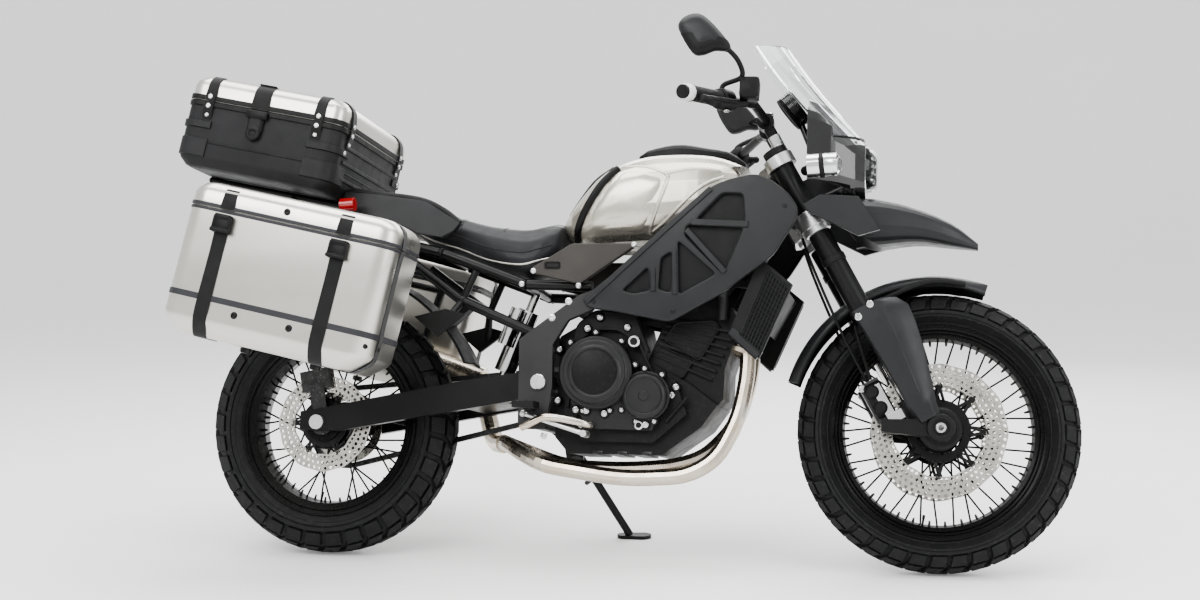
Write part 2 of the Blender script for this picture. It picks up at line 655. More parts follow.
def case_shell(name, look, body, place, length, width, radius, outer, wall, node, open_top):
    """A pressed shell from (height, inset along, inset across) stations, open at its seam end."""
    piece = Piece()

    def ring(z, ins_l, ins_w, w=0.0):
        return round_box_ring(length / 2 - ins_l - w, width / 2 - ins_w - w,
                              radius - max(ins_l, ins_w) * 0.35 - w, z)

    rings = [ring(*s) for s in outer]
    inner = [ring(s[0], s[1], s[2], wall) for s in outer]
    if open_top:
        inner[0] = ring(outer[0][0] + wall, outer[0][1], outer[0][2], wall)
        piece.rings(rings + inner[::-1])
    else:
        inner[-1] = ring(outer[-1][0] - wall, outer[-1][1], outer[-1][2], wall)
        piece.rings(inner[::-1] + rings)
    obj = piece.make(name, look, body, place, smooth=30, bevel=1.2)
    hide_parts(node)


def hoop(piece, proud, height, z, length, width, radius):
    """A band round a case at height z, standing proud of it."""
    def ring(w, zz):
        return round_box_ring(length / 2 + w, width / 2 + w, radius + w, zz)

    piece.rings([ring(-1, z - height / 2), ring(proud, z - height / 2 + 1), ring(proud, z + height / 2 - 1),
                 ring(-1, z + height / 2)], caps=OPEN)


PAN_L, PAN_W, PAN_H, PAN_LID = 530, 220, 365, 62
PAN_SEAM = PAN_H - PAN_LID
PAN_R = 46


def pannier(tag, sign):
    """One side case's shells, bands, straps, buckles and bolts."""
    body_name, lid_body = tag + "_pannier_body", tag + "_pannier_lid"
    place = tilted((-30, 358.3, 470), 12, sign)  # its own +Y faces away from the machine
    body_st = [(0, 48, 30), (6, 38, 22), (34, 6, 3), (46, 0, 0), (PAN_SEAM - 0.3, 0, 0)]
    lid_st = [(PAN_SEAM + 0.3, 0, 0), (PAN_H - 30, 0, 0), (PAN_H - 19, 5, 3), (PAN_H - 7, 17, 12),
              (PAN_H - 1.5, 27, 21), (PAN_H, 34, 28)]
    case_shell(body_name + "_shell", "case_aluminium", "chassis", place, PAN_L, PAN_W, PAN_R, body_st,
               2.5, body_name, True)
    case_shell(lid_body + "_shell", "case_aluminium", lid_body, place, PAN_L, PAN_W, PAN_R, lid_st, 2.5,
               lid_body, False)
    low, high = Piece(), Piece()
    hoop(low, 2.2, 15, 92, PAN_L, PAN_W, PAN_R)
    hoop(low, 2.2, 8, PAN_SEAM - 5, PAN_L, PAN_W, PAN_R)
    hoop(high, 2.4, 9, PAN_SEAM + 5.5, PAN_L, PAN_W, PAN_R)
    low.make(body_name + "_bands", "band", "chassis", place, smooth=30)
    high.make(lid_body + "_band", "band", lid_body, place, smooth=30)
    # Webbing straps with buckles, split where the lid parts from the body
    w2 = PAN_W / 2
    strap_low, strap_lid, buckle, dark = Piece(), Piece(), Piece(), Piece()
    outward = ((1, 0, 0), (0, 0, 1), (0, 1, 0))
    for x in (-158, 138):
        path = smooth_path([(x, w2 + 4, PAN_SEAM - 14), (x, w2 + 3, 250), (x, w2 + 1.2, 190),
                            (x, w2 + 3.4, 100), (x, w2 + 3.4, 84), (x, w2 + 1.2, 46), (x, w2 - 10, 20),
                            (x, w2 - 26, 1), (x, w2 - 46, -1.6), (x, 20, -1.8)], 4)
        strap_low.ribbon(path, (-1, 0, 0), 34, 2.2)
        path = smooth_path([(x, 10, PAN_H + 0.4), (x, w2 - 34, PAN_H + 0.4), (x, w2 - 20, PAN_H - 2.5),
                            (x, w2 - 5, PAN_H - 16), (x, w2 + 1, PAN_H - 34),
                            (x, w2 + 3.4, PAN_SEAM + 12), (x, w2 + 4, PAN_SEAM + 1)], 4)
        strap_lid.ribbon(path, (-1, 0, 0), 34, 2.2)
        # Buckle: a body, a tongue bar and a folded end
        buckle.block((x, w2 + 9, 268), (46, 44, 12), outward, 3, 0.93)
        buckle.block((x, w2 + 12, 252), (50, 9, 12), outward, 2.5)
        buckle.block((x, w2 + 12, 285), (40, 12, 14), outward, 3)
        for s in (-1, 1):
            buckle.block((x + s * 20, w2 + 10, 268), (5, 36, 14), outward, 1.5)
    # The strap over the front end
    l2 = PAN_L / 2
    y = 46
    path = smooth_path([(l2 + 4, y, PAN_SEAM - 2), (l2 + 1.2, y, PAN_SEAM - 40), (l2 + 1.2, y, 120),
                        (l2 + 3.4, y, 92), (l2 + 1, y, 52), (l2 - 6, y, 30), (l2 - 38, y, 4),
                        (l2 - 58, y, -1.6), (l2 - 90, y, -1.8)], 4)
    strap_low.ribbon(path, (0, 1, 0), 26, 2.2)
    path = smooth_path([(l2 - 60, y, PAN_H + 0.4), (l2 - 34, y, PAN_H + 0.2), (l2 - 22, y, PAN_H - 3),
                        (l2 - 5, y, PAN_H - 16), (l2 + 1, y, PAN_H - 34), (l2 + 3.6, y, PAN_SEAM + 10),
                        (l2 + 4.2, y, PAN_SEAM + 1)], 4)
    strap_lid.ribbon(path, (0, 1, 0), 26, 2.2)
    strap_low.make(body_name + "_straps", "webbing", "chassis", place)
    strap_lid.make(lid_body + "_straps", "webbing", lid_body, place)
    buckle.make(body_name + "_buckles", "black_plastic", "chassis", place)
    for x, z in ((-75, 66), (65, 66)):
        dark.bolt((x, w2 - 0.5, z), (0, 1, 0), 7, 4)
    for x, y, z in ((l2 - 14, w2 - 15, 66), (l2, w2 - 62, 66), (-l2, w2 - 70, 66), (-l2, -w2 + 50, 66)):
        n = (1, 1, 0) if abs(x) < l2 else (x, 0, 0)
        dark.bolt((x, y, z), n, 6, 4)
    for x in (-60, 120):
        dark.lathe([(12, 0), (14, -3), (13, -12), (9, -14), (0.01, -14)], (x, 30, 0), (0, 0, 1), 16)
    dark.make(body_name + "_bolts", "bolt_dark", "chassis", place)
    lid_bolt = Piece()
    lid_bolt.bolt((-10, w2 - 0.5, PAN_SEAM + 26), (0, 1, 0), 7, 4)
    lid_bolt.make(lid_body + "_bolt", "bolt_dark", lid_body, place)


pannier("right", -1)
pannier("left", 1)

TOP_L, TOP_W, TOP_H, TOP_LID = 420, 500, 235, 66
TOP_SEAM = TOP_H - TOP_LID
TOP_R = 34
top_place = tilted((-170, 0, 925), 11)
case_shell("top_case_body_shell", "case_plastic", "chassis", top_place, TOP_L, TOP_W, TOP_R,
           [(0, 30, 20), (4, 20, 12), (20, 4, 2), (30, 0, 0), (TOP_SEAM - 0.3, 0, 0)], 3,
           "top_case_body", True)
case_shell("top_case_lid_shell", "case_aluminium", "top_case_lid", top_place, TOP_L, TOP_W, TOP_R,
           [(TOP_SEAM + 0.3, 0, 0), (TOP_H - 30, 0, 0), (TOP_H - 17, 4, 3), (TOP_H - 6, 15, 13),
            (TOP_H - 1.5, 24, 22), (TOP_H, 32, 30)], 3, "top_case_lid", False)
rim_low, rim_high, tabs_lid, tabs_low = Piece(), Piece(), Piece(), Piece()
hoop(rim_low, 4, 13, TOP_SEAM - 8, TOP_L, TOP_W, TOP_R)
hoop(rim_high, 4, 13, TOP_SEAM + 8, TOP_L, TOP_W, TOP_R)
hoop(rim_low, 1.6, 5, 64, TOP_L, TOP_W, TOP_R)
silver, silver_lid = Piece(), Piece()
hl, hw = TOP_L / 2, TOP_W / 2


def top_tab(x, y, nx, ny):
    """A moulded tab over the seam with silver bolts, on the face whose outward way is (nx, ny)."""
    face = vec(nx, ny, 0)
    p = vec(x, y, 0)
    across = vec(0, 0, 1).cross(face) * -1

    def at_height(out, z):
        return p + face * out + vec(0, 0, z)

    upper = [(-34, TOP_H + 0.6), (-20, TOP_H - 2.4), (-5, TOP_H - 15), (1.2, TOP_H - 32),
             (4.4, TOP_SEAM + 14), (5, TOP_SEAM + 1)]
    lower = [(5, TOP_SEAM - 1), (5, TOP_SEAM - 22), (1.5, TOP_SEAM - 30), (1.0, TOP_SEAM - 44)]
    tabs_lid.ribbon(smooth_path([at_height(*q) for q in upper], 4), across, 26, 3)
    tabs_low.ribbon([at_height(*q) for q in lower], across, 26, 3)
    silver_lid.bolt(at_height(7.4, TOP_SEAM + 11), face, 5, 3)
    silver.bolt(at_height(7.8, TOP_SEAM - 13), face, 5, 3)
    silver.bolt(at_height(4, TOP_SEAM - 36), face, 4.4, 3)


for s in (-1, 1):
    for x in (-hl + 62, hl - 62):
        top_tab(x, s * hw, 0, s)
    for y in (-hw + 66, hw - 66):
        top_tab(s * hl, y, s, 0)
# Corner guards, ribs of the front and rear ends and the rail round the corner
guards = Piece()
for sx in (-1, 1):
    for sy in (-1, 1):
        for z0, z1, grow in ((26, 74, 3.2), (98, 118, 5.0)):
            r = TOP_R
            cx, cy = sx * (hl - r), sy * (hw - r)
            rings = []
            for k in range(-3, 10):
                a = radians(min(90, max(0, k * 15)))
                ext = -k * 15 if k < 0 else max(0, k - 6) * 15
                q = vec(cx + sx * r * cos(a), cy + sy * r * sin(a), 0)
                q += vec(0, -sy * ext, 0) if k < 0 else vec(-sx * ext, 0, 0)
                n = vec(sx * cos(a), sy * sin(a), 0)
                rings.append([q + n * out + vec(0, 0, z)
                              for out, z in ((-1, z0), (grow, z0 + 2), (grow, z1 - 2), (-1, z1))])
            guards.rings(rings)
for z, grow, high in ((46, 3.6, 10), (86, 3.6, 10), (126, 3.6, 10)):
    for sx in (-1, 1):
        guards.block((sx * (hl + grow / 2 - 1), 0, z), (TOP_W - 2 * TOP_R - 40, high, grow + 2),
                     ((0, 1, 0), (0, 0, 1), (sx, 0, 0)), 1.6)
for sy in (-1, 1):
    silver.bolt((hl - 16, sy * (hw - 16) + sy * 8, 42), (1, sy, 0), 5, 3)
    silver.bolt((hl + 6, sy * (hw - 44), 108), (1, 0, 0), 5, 3)
guards.make("top_case_guards", "case_plastic", "chassis", top_place, smooth=30)
rim_low.make("top_case_rim_lower", "black_plastic", "chassis", top_place, smooth=30)
rim_high.make("top_case_rim_upper", "black_plastic", "top_case_lid", top_place, smooth=30)
tabs_lid.make("top_case_tabs_upper", "webbing", "top_case_lid", top_place)
tabs_low.make("top_case_tabs_lower", "webbing", "chassis", top_place)
silver.make("top_case_bolts_lower", "bolt_silver", "chassis", top_place)
silver_lid.make("top_case_bolts_upper", "bolt_silver", "top_case_lid", top_place)
# The wide strap with its latch on each side
strap, latch = Piece(), Piece()
for s in (-1, 1):
    path = smooth_path([(-12, 0, TOP_H + 1.2), (-12, s * (hw - 36), TOP_H + 1.2),
                        (-12, s * (hw - 20), TOP_H - 1), (-12, s * (hw - 4), TOP_H - 14),
                        (-12, s * (hw + 2), TOP_H - 32), (-12, s * (hw + 5), TOP_SEAM + 14),
                        (-12, s * (hw + 6), TOP_SEAM + 1)], 4)
    strap.ribbon(path, (-s, 0, 0), 46, 2.6)
    axes = ((1, 0, 0), (0, 0, 1), (0, s, 0))
    latch.block((-12, s * (hw + 8), TOP_SEAM - 14), (56, 20, 14), axes, 3)
    latch.block((-12, s * (hw + 7), TOP_SEAM - 40), (42, 40, 12), axes, 4, 0.9)
    latch.lathe([(19, 0), (19, 8), (16, 11), (10, 11.5), (9, 9), (4, 9), (0.01, 10)],
                (-12, s * (hw + 2), TOP_SEAM - 62), (0, s, 0), 32)
strap.make("top_case_strap", "webbing", "top_case_lid", top_place)
latch.make("top_case_latches", "black_plastic", "chassis", top_place)


# ---- Panels with windows ----
def inside(p, poly):
    """Whether a point lies within an outline."""
    hit = False
    for i, a in enumerate(poly):
        b = poly[i - 1]
        if (a[1] > p[1]) != (b[1] > p[1]) and p[0] < (b[0] - a[0]) * (p[1] - a[1]) / (b[1] - a[1]) + a[0]:
            hit = not hit
    return hit


def cut_corners(poly, reach, steps=3):
    """Rounds the corners of an outline."""
    out = []
    n = len(poly)
    for i in range(n):
        a, b, c = vec(poly[i - 1]), vec(poly[i]), vec(poly[(i + 1) % n])
        p = b + (a - b).normalized() * min(reach, (a - b).length * 0.45)
        q = b + (c - b).normalized() * min(reach, (c - b).length * 0.45)
        for k in range(steps + 1):
            t = k / steps
            out.append(tuple((1 - t) ** 2 * p + 2 * t * (1 - t) * b + t * t * q))
    return out


def inset_poly(poly, d):
    """Moves an outline inwards by d."""
    n = len(poly)
    area = sum(poly[i - 1][0] * poly[i][1] - poly[i][0] * poly[i - 1][1] for i in range(n))
    s = 1 if area > 0 else -1
    out = []
    for i in range(n):
        a, b, c = vec(poly[i - 1]), vec(poly[i]), vec(poly[(i + 1) % n])
        u, v = (b - a).normalized(), (c - b).normalized()
        m = (vec(-u.y, u.x) + vec(-v.y, v.x))
        if m.length < 1e-6:
            m = vec(-u.y, u.x)
        m.normalize()
        k = max(0.5, m.dot(vec(-u.y, u.x)))
        out.append(tuple(b + m * (s * d / k)))
    return out


def panel(piece, outline, holes, outer, depth, spacing, chamfer):
    """A shaped sheet on each side, its outer face outer(x, z) from the machine's middle."""
    loops = [outline] + list(holes)
    shrunk = [inset_poly(outline, chamfer)] + [inset_poly(h, -chamfer) for h in holes]
    pts, edges = [], []
    for loop in shrunk:
        base = len(pts)
        pts += [vec(p) for p in loop]
        edges += [(base + i, base + (i + 1) % len(loop)) for i in range(len(loop))]
    xs, zs = [p[0] for p in outline], [p[1] for p in outline]
    x = min(xs) + spacing / 2
    while x < max(xs):
        z = min(zs) + spacing / 2
        while z < max(zs):
            in_a_hole = any(inside((x, z), inset_poly(h, -spacing * 0.4)) for h in holes)
            if inside((x, z), inset_poly(outline, spacing * 0.4)) and not in_a_hole:
                pts.append(vec(x, z))
            z += spacing
        x += spacing
    flat = delaunay_2d_cdt(pts, edges, [], 0, 1e-4)
    cd_verts, cd_faces = flat[0], flat[2]
    keep = []
    for f in cd_faces:
        c = sum((cd_verts[i] for i in f), vec(0, 0)) / len(f)
        if inside(c, shrunk[0]) and not any(inside(c, h) for h in shrunk[1:]):
            keep.append(f)
    for s in (-1, 1):
        verts = [(v.x, s * outer(v.x, v.y), v.y) for v in cd_verts]
        piece.add(verts, keep)
        for loop, small in zip(loops, shrunk):
            def lift(p, d):
                return vec(p[0], s * (outer(p[0], p[1]) - d), p[1])
            between = [tuple(vec(a).lerp(vec(b), 0.7)) for a, b in zip(small, loop)]
            edge_rings = ((small, 0), (between, chamfer * 0.3), (loop, chamfer), (loop, depth))
            piece.rings([[lift(p, d) for p in ring] for ring, d in edge_rings], caps=OPEN)


SHROUD = [(986, 900), (1029, 917), (1088, 929), (1126, 915), (1169, 881), (1193, 846), (1187, 817),
          (1134, 732), (1009, 639), (891, 574), (761, 599), (691, 608), (673, 629), (848, 767)]


def shroud_out(x, z):
    """The shroud swells towards its upper front and tucks in along its edges."""
    d = hypot((x - 1060) / 260, (z - 800) / 190)
    return 205 - 17 * min(1.6, d) ** 2 * 0.42


WINDOWS = [[(1012, 882), (1060, 880), (1066, 812), (953, 820)],
           [(930, 806), (1062, 798), (1018, 690), (925, 782)],
           [(908, 768), (912, 640), (1000, 688)],
           [(868, 728), (893, 742), (893, 644), (862, 652)],
           [(774, 650), (836, 706), (843, 650), (800, 642)]]
shroud = Piece()
windows = [cut_corners(w, 9, 3) for w in WINDOWS]
panel(shroud, cut_corners(SHROUD, 16, 3), windows, shroud_out, 14, 20, 3)
obj = shroud.make("side_shroud_skins", "grey_plastic", "chassis", smooth=42)
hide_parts("side_shrouds")
recess = Piece()
panel(recess, cut_corners(inset_poly(SHROUD, 9), 10, 2), [], lambda x, z: shroud_out(x, z) - 13, 8, 40, 2)
recess.make("side_shroud_recesses", "black_plastic", "chassis")
ridges = Piece()
for s in (-1, 1):
    for a, b, w in (((940, 812), (1075, 806), 15), ((928, 794), (1022, 692), 14),
                    ((900, 744), (903, 640), 12), ((849, 700), (850, 648), 12),
                    ((686, 622), (985, 893), 13)):
        steps = 8
        path = [vec(a[0] + (b[0] - a[0]) * k / steps, 0, a[1] + (b[1] - a[1]) * k / steps)
                for k in range(steps + 1)]
        path = [vec(p.x, s * (shroud_out(p.x, p.z) - 2), p.z) for p in path]
        way = (path[-1] - path[0]).normalized()
        across = way.cross(vec(0, s, 0))
        ridges.ribbon(path, across, w, 6)
    for x, z in ((706, 622), (1160, 850), (900, 600)):
        ridges.bolt((x, s * (shroud_out(x, z) - 0.6), z), (0, s, 0), 5, 3)
ridges.make("side_shroud_ridges", "grey_plastic", "chassis", smooth=30)

# Side covers with their blank recess
COVER = [(542, 708), (548, 694), (664, 668), (800, 762), (796, 768), (642, 768)]
covers = Piece()
slot_outline = cut_corners([(577, 706), (613, 706), (613, 721), (577, 721)], 4, 2)
panel(covers, cut_corners(COVER, 6, 2), [slot_outline], lambda x, z: 166.5, 15, 26, 2.5)
obj = covers.make("side_cover_skins", "brown_plastic", "chassis")
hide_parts("side_covers")
plates = Piece()
for s in (-1, 1):
    plates.plate(slot_outline, s * 150, s * 164.6, 1)
    plates.plate(inset_poly(slot_outline, 3), s * 160, s * 166, 1)
plates.make("side_cover_recesses", "black_plastic", "chassis")


# ---- Seat ----
SWELL = 0.009
seat_node = frame["nodes"]["rider_seat"]
seat = seat_node.copy()
seat.data = seat_node.data.copy()
seat.name = seat.data.name = "rider_seat_cover"
seat.parent = None
seat.data.transform(seat_node.matrix_world)
seat.matrix_world = Matrix.Identity(4)
bpy.context.scene.collection.objects.link(seat)


def applied(obj):
    """Puts the result of an object's modifiers into its mesh."""
    bpy.context.view_layer.update()
    mesh = bpy.data.meshes.new_from_object(obj.evaluated_get(bpy.context.evaluated_depsgraph_get()))
    obj.modifiers.clear()
    obj.data = mesh


remesh = seat.modifiers.new("skin", "REMESH")
remesh.mode, remesh.voxel_size = "VOXEL", 0.0055
smooth = seat.modifiers.new("ease", "SMOOTH")
smooth.factor, smooth.iterations = 0.5, 6
applied(seat)
for v, n in [(v, v.normal.copy()) for v in seat.data.vertices]:
    v.co -= n * 0.004
scene = bpy.context.scene
before = [v.co.copy() for v in seat.data.vertices]
cloth = seat.modifiers.new("cloth", "CLOTH")
cloth.settings.use_pressure = True
cloth.settings.uniform_pressure_force = 4.0
cloth.settings.tension_stiffness = cloth.settings.compression_stiffness = 30
cloth.settings.quality = 6
cloth.settings.effector_weights.gravity = 0.0
cloth.point_cache.frame_start, cloth.point_cache.frame_end = 1, 20
for f in range(1, 21):
    scene.frame_set(f)
    bpy.context.view_layer.update()
applied(seat)
scene.frame_set(1)
for v, p in zip(seat.data.vertices, before):
    d = v.co - p
    if d.length > SWELL:
        v.co = p + d.normalized() * SWELL
ease = seat.modifiers.new("ease", "SMOOTH")
ease.factor, ease.iterations = 0.5, 4
applied(seat)
round_ = seat.modifiers.new("round", "SUBSURF")
round_.levels = round_.render_levels = 1
applied(seat)
seat.data.materials.clear()
seat.data.materials.append(LOOKS["seat_vinyl"])
seat.data.polygons.foreach_set("use_smooth", [True] * len(seat.data.polygons))
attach(seat, "chassis")
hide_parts("rider_seat")

seat_skin = BVHTree.FromPolygons([v.co.copy() for v in seat.data.vertices],
                                 [tuple(p.vertices) for p in seat.data.polygons])
TO_ROW = scaled(UPRIGHT)
FROM_ROW = TO_ROW.inverted()


def cast(tree, start, way):
    """Where a ray meets a skin and that face's outward way; start and way are in upright millimetres."""
    return tree.ray_cast(TO_ROW @ start, (TO_ROW.to_3x3() @ way).normalized())[:2]


def on_seat(x, side, z, out=0.0):
    """The point of the seat's side at that length and height, in upright millimetres."""
    hit = cast(seat_skin, vec(x, side * 300, z), vec(0, -side, 0))[0]
    return FROM_ROW @ hit + vec(0, side * out, 0) if hit else None


def over_seat(x, y, out=0.0):
    """The point of the seat's top at that length and width."""
    hit = cast(seat_skin, vec(x, y, 1100), vec(0, 0, -1))[0]
    return FROM_ROW @ hit + vec(0, 0, out) if hit else None


SEAT_LOW = [(222, 812), (260, 792), (300, 779), (340, 767), (420, 736), (500, 722), (545, 730), (580, 742)]
piping, stitches = Piece(), Piece()
for s in (-1, 1):
    for lift, r, target in ((0, 2.6, piping), (30, 1.3, stitches)):
        line = [on_seat(p.x, s, p.z + lift, 0.3) for p in smooth_path([(x, 0, z) for x, z in SEAT_LOW], 6)]
        target.tube(smooth_path([p for p in line if p], 2), r, 8)
for x in (338, 452):
    line = [over_seat(x, y, 0.2) for y in range(-96, 97, 8)]
    stitches.tube(smooth_path([p for p in line if p], 2), 1.3, 8)
piping.make("seat_piping", "case_aluminium", "chassis")
stitches.make("seat_seams", "webbing", "chassis")

# ---- Engine ----
OUT_R = vec(0, -1, 0)
CLUTCH, PUMP = vec(711, 0, 454), vec(831, 0, 400)
rings, dark, bolts, panels = Piece(), Piece(), Piece(), Piece()
rings.lathe([(88, 158), (89, 164), (88, 170), (63, 190), (60, 191.5), (57, 191), (54, 188), (54, 184)],
            CLUTCH, OUT_R, 96)
dark.lathe([(54, 186), (53.5, 188), (51, 189.2), (0.01, 189.2)], CLUTCH, OUT_R, 72)
rings.lathe([(56, 150), (56, 168), (54, 174), (48, 180), (45, 181), (43, 180), (41, 177), (14, 176.5),
             (12.5, 179), (11, 180), (0.01, 180)], PUMP, OUT_R, 72)
rings.lathe([(60, 158), (60, 163), (57, 164)], PUMP, OUT_R, 72)
rings.lathe([(91, 158), (92, 176), (88, 184), (72, 189), (48, 189), (45, 186), (0.01, 186)],
            vec(770, 0, 420), -OUT_R, 96)
for x, z, r in ((711, 454, 97), (831, 400, 65)):
    for k in range(9):
        a = 2 * pi * (k + 0.3) / 9
        bx, bz = x + r * cos(a), z + r * sin(a)
        if 640 < bx < 885 and not (abs(bx - 831) < 62 and x == 711 and abs(bz - 400) < 58):
            dark.lathe([(9, 148), (9, 163), (7, 164.5), (0.01, 164.5)], vec(bx, 0, bz), OUT_R, 16)
            bolts.bolt((bx, -164.5, bz), OUT_R, 4.2, 3.4)
for x, z, y in ((713, 590, 146), (683, 562, 146), (780, 566, 142), (664, 364, 166), (690, 362, 166),
                (734, 356, 166), (780, 332, 142), (835, 331, 166), (673, 330, 142), (902, 424, 142),
                (892, 404, 142), (866, 455, 126), (613, 388, 142), (613, 512, 142)):
    dark.lathe([(12, 118), (11, y - 2), (9, y), (0.01, y)], vec(x, 0, z), OUT_R, 20)
    bolts.bolt((x, -y, z), OUT_R, 6, 4)
for x, z, y, r in ((799, 531, 150, 15), (571, 429, 173.5, 19), (819, 330, 163, 11)):
    bolts.lathe([(r, y - 6), (r, y + 4), (r - 2, y + 6), (r * 0.62, y + 6), (r * 0.55, y + 3)],
                vec(x, 0, z), OUT_R, 32)
    dark.lathe([(r * 0.6, y - 4), (r * 0.6, y + 3.6), (0.01, y + 3.6)], vec(x, 0, z), OUT_R, 24)
for outline in ([(862, 538), (893, 584), (992, 590), (1005, 570), (954, 486)],
                [(832, 480), (856, 530), (941, 490), (913, 443)]):
    frame_in = cut_corners(outline, 9, 2)
    panels.plate(frame_in, -106, -116, 2)
    rim_pts = [vec(x, -116.5, z) for x, z in inset_poly(frame_in, 3)]
    panels.tube(smooth_path(rim_pts + rim_pts[:1], 1), 2.6, 8)
panels.plate(cut_corners([(640, 520), (655, 575), (700, 610), (800, 600), (820, 548), (840, 500),
                          (760, 560), (700, 560)], 14, 3), -120, -139.5, 3)
for a, b in (((655, 340), (850, 338)), ((640, 372), (655, 500)), ((846, 452), (806, 540)),
             ((880, 340), (930, 400))):
    way = (vec(b[0], 0, b[1]) - vec(a[0], 0, a[1])).normalized()
    panels.ribbon([vec(a[0], -141, a[1]), vec(b[0], -141, b[1])], way.cross(OUT_R), 7, 7)
for s in (-1, 1):
    for x, z in ((600, 585), (640, 625), (565, 340), (590, 300)):
        bolts.bolt((x, s * 172, z), (0, s, 0), 7, 4)
for x, z in ((548, 700), (662, 664), (796, 764), (520, 668)):
    for s in (-1, 1):
        bolts.bolt((x, s * 167, z), (0, s, 0), 5.5, 3.5)
rings.make("engine_cover_rings", "engine_cover", "chassis", smooth=32)
dark.make("engine_bosses", "engine", "chassis")
bolts.make("engine_bolts", "bolt_silver", "chassis")
panels.make("engine_panels", "engine", "chassis", smooth=30)
pipe = Piece()
pipe.tube(smooth_path([(704, -176, 328), (690, -196, 330), (640, -204, 340), (596, -206, 342),
                       (560, -204, 326), (540, -196, 318)], 8), 9, 20)
pipe.make("footrest_guard_tube", "exhaust", "chassis")

# ---- Radiator ----
mesh_bars, backing = Piece(), Piece()
GUARD = [vec(1031, 0, 554), vec(1102, 0, 492), vec(1178, 0, 668), vec(1100, 0, 732)]


def across_guard(u, v):
    low, high = GUARD[0].lerp(GUARD[1], u), GUARD[3].lerp(GUARD[2], u)
    p = low.lerp(high, v)
    return vec(p.x, 0, p.z)


for s in (-1, 1):
    at_y = vec(0, s * 174.4, 0)
    backing.plate([(p.x, p.z) for p in (across_guard(0.36, 0.07), across_guard(0.96, 0.07),
                                        across_guard(0.96, 0.93), across_guard(0.36, 0.93))], s * 171,
                  s * 172.6, 0.5)
    for k in range(8):
        a, b = across_guard(0.36 + 0.6 * k / 7, 0.07), across_guard(0.36 + 0.6 * k / 7, 0.93)
        mesh_bars.ribbon([a + at_y, b + at_y], (b - a).normalized().cross(vec(0, s, 0)), 2.4, 4)
    for k in range(15):
        a, b = across_guard(0.36, 0.07 + 0.86 * k / 14), across_guard(0.96, 0.07 + 0.86 * k / 14)
        mesh_bars.ribbon([a + at_y, b + at_y], (b - a).normalized().cross(vec(0, s, 0)), 2.4, 3)
    a, b = across_guard(0.02, 0.03), across_guard(0.98, 0.03)
    mesh_bars.tube([a + vec(0, s * 164, 0), b + vec(0, s * 164, 0)], 13, 16)
    edge = [across_guard(u, v) + vec(0, s * 172, 0)
            for u, v in ((0.31, 0.05), (0.31, 0.95), (0.99, 0.95), (0.99, 0.05), (0.31, 0.05))]
    mesh_bars.tube(edge, 2.6, 8)
backing.make("radiator_core_backing", "black_plastic", "chassis")
mesh_bars.make("radiator_grille", "grey_plastic", "chassis")


# ---- Brake hoses ----
HOSE = [(-8, 66, 559.6), (-20, 76, 480), (-34, 88, 330), (-38, 76, 210), (-37, 71, 178.4)]
for s, tag in ((-1, "right"), (1, "left")):
    line = smooth_path([on_fork(f, s * y, h) for f, y, h in HOSE], 8)
    line = [scaled(TURNED) @ p for p in line]
    data = bpy.data.curves.new("brake_hose_" + tag, "CURVE")
    data.dimensions = "3D"
    spline = data.splines.new("POLY")
    spline.points.add(len(line) - 1)
    for p, q in zip(spline.points, line):
        p.co = (*q, 1)
    data.bevel_depth, data.bevel_resolution, data.use_fill_caps = 0.0035, 4, True
    data.materials.append(LOOKS["hose"])
    hose = bpy.data.objects.new("brake_hose_" + tag, data)
    bpy.context.scene.collection.objects.link(hose)
    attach(hose, "steering")
    if s < 0:
        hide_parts("brake_hoses")

